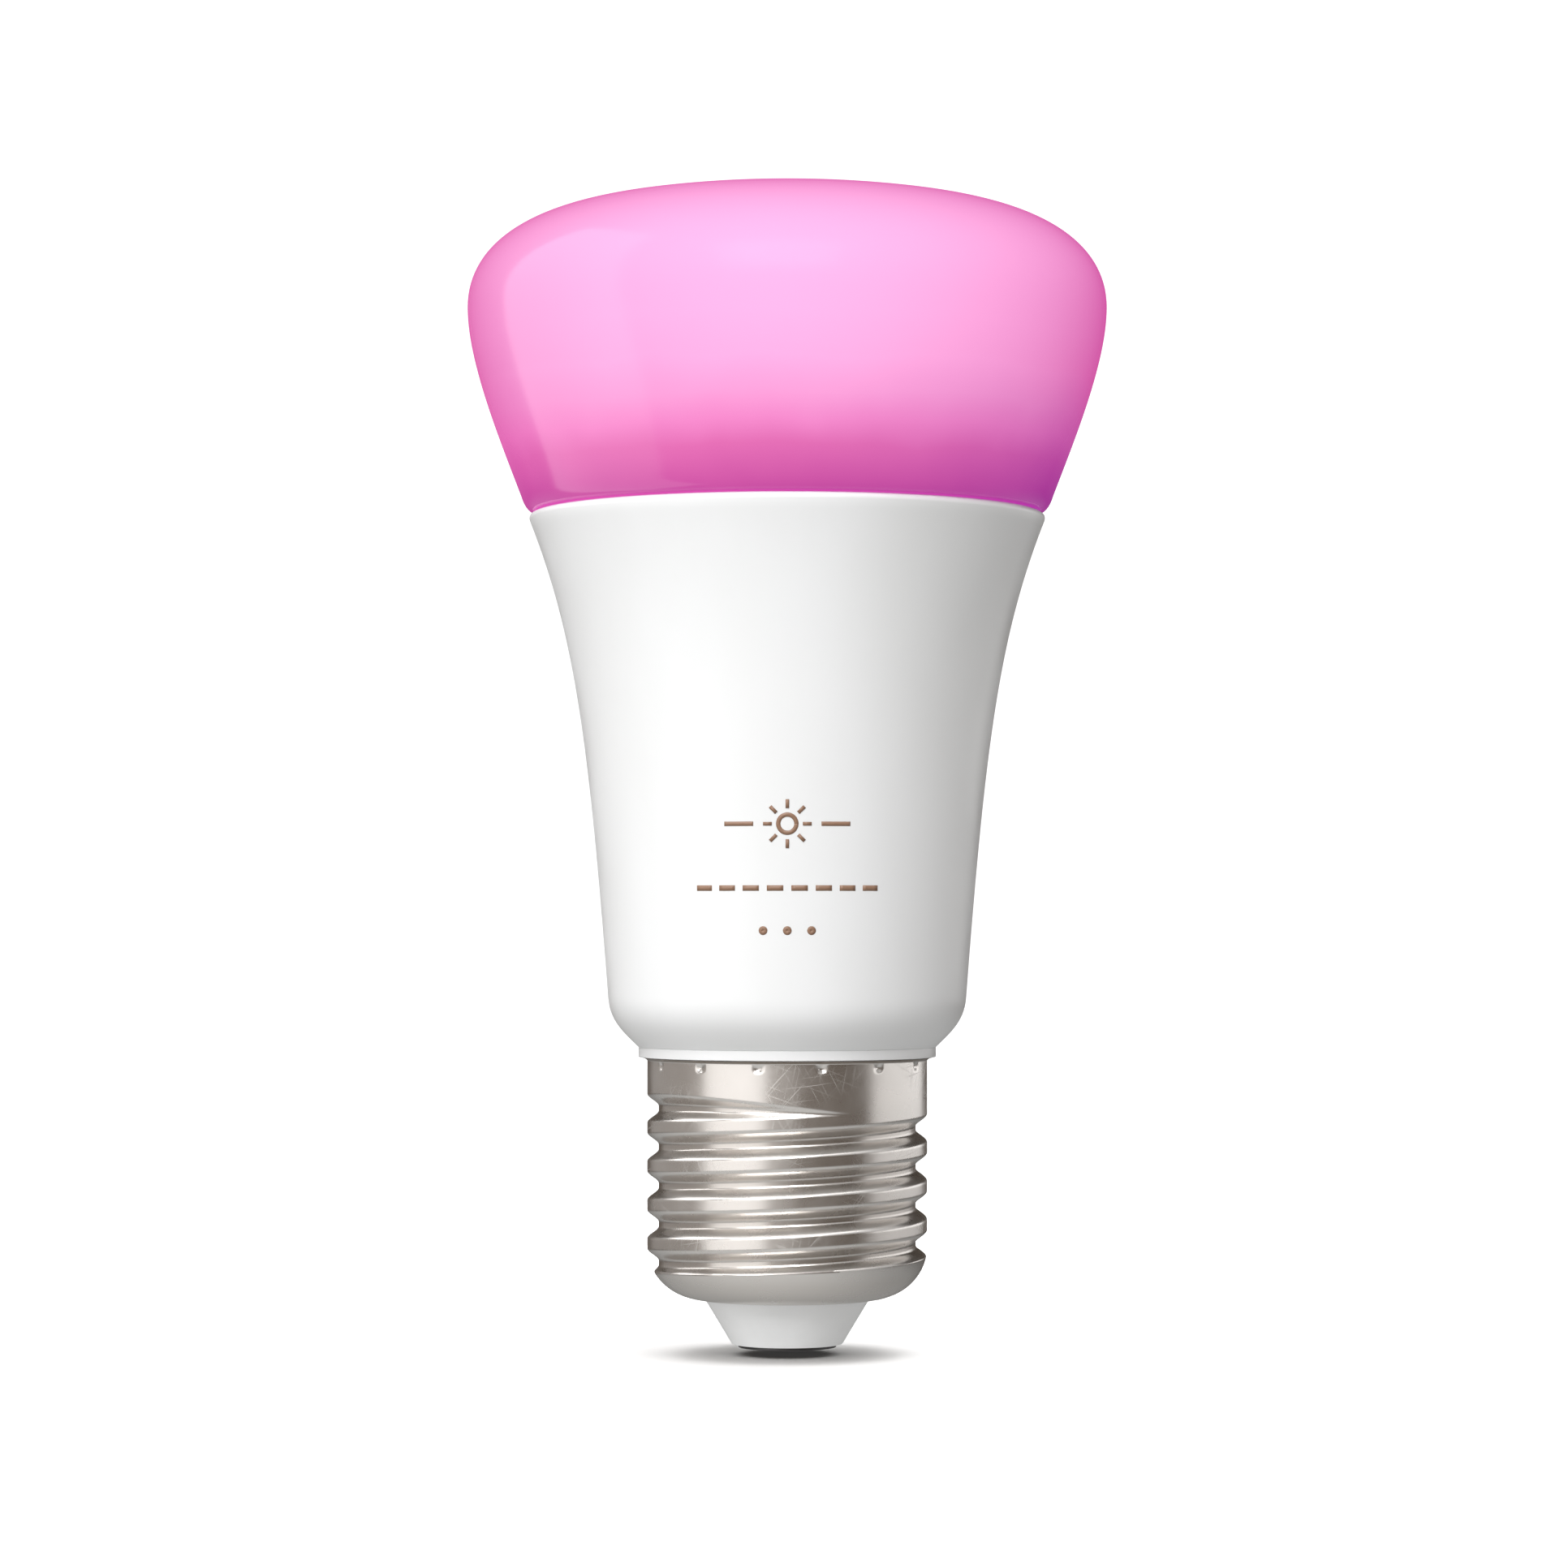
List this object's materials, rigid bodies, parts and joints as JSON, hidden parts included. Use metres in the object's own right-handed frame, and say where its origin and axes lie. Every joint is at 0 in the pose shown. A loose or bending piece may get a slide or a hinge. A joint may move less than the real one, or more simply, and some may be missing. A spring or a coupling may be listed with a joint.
{
  "type": "smart light bulb",
  "caption": "Colour-changing smart light bulb: wide translucent dome on a white housing that flares upward, with a threaded metal screw cap, pale cone insulator and flat end contact.",
  "frame": {"origin": "centre of the bottom face of the centre contact, on the bulb's axis", "axes": "+Z along the bulb's axis, from the centre contact up to the crown of the dome; -Y is the front, the side with the printed mark; +X is to the right as seen from the front"},
  "size_m": [0.0602, 0.0602, 0.1088],
  "materials": {
    "diffuser": "gloss",
    "white_plastic": "satin",
    "pale_plastic": "satin",
    "nickel": "satin",
    "contact_steel": "satin",
    "aluminium": "satin",
    "silicone": "matte",
    "thermal_pad": "matte",
    "white_board": "satin",
    "green_board": "satin",
    "black_plastic": "satin",
    "ferrite": "matte",
    "copper": "satin",
    "film": "satin",
    "blue_coating": "satin",
    "can_sleeve": "gloss",
    "tin": "satin",
    "red_wire": "satin",
    "white_wire": "satin",
    "led_warm": "satin",
    "led_cool": "satin",
    "led_red": "satin",
    "led_green": "satin",
    "led_blue": "satin"
  },
  "bodies": {
    "root": {"diffuser_dome": "diffuser", "dome_sealant": "silicone", "housing": "white_plastic", "insulating_liner": "white_plastic", "screw_shell": "nickel", "cap_insulator": "pale_plastic", "centre_contact": "contact_steel", "heat_spreader": "aluminium", "thermal_pad": "thermal_pad", "led_board": "white_board", "led_socket": "black_plastic", "board_screw_1": "tin", "board_screw_2": "tin", "driver_board": "green_board", "fuse_resistor": "blue_coating", "surge_varistor": "blue_coating", "film_capacitor": "film", "filter_choke": "ferrite", "bridge_rectifier": "black_plastic", "bulk_capacitor_1": "can_sleeve", "bulk_capacitor_2": "can_sleeve", "switch_transistor": "black_plastic", "driver_chip": "black_plastic", "output_diode": "black_plastic", "current_chip": "black_plastic", "transformer_core": "ferrite", "transformer_bobbin": "black_plastic", "transformer_winding": "copper", "output_capacitor": "can_sleeve", "output_inductor": "ferrite", "pin_header": "tin", "radio_header": "black_plastic", "radio_board": "green_board", "radio_shield": "tin", "radio_chip": "black_plastic", "radio_crystal": "tin", "radio_antenna": "copper", "live_wire": "red_wire", "neutral_wire": "white_wire", "led_blue_1": "led_blue", "led_blue_2": "led_blue", "led_cool_white_1": "led_cool", "led_cool_white_2": "led_cool", "led_green_1": "led_green", "led_green_2": "led_green", "led_red_1": "led_red", "led_red_2": "led_red", "led_warm_white_1": "led_warm", "led_warm_white_2": "led_warm", "led_warm_white_3": "led_warm", "led_warm_white_4": "led_warm"}
  },
  "joints": []
}
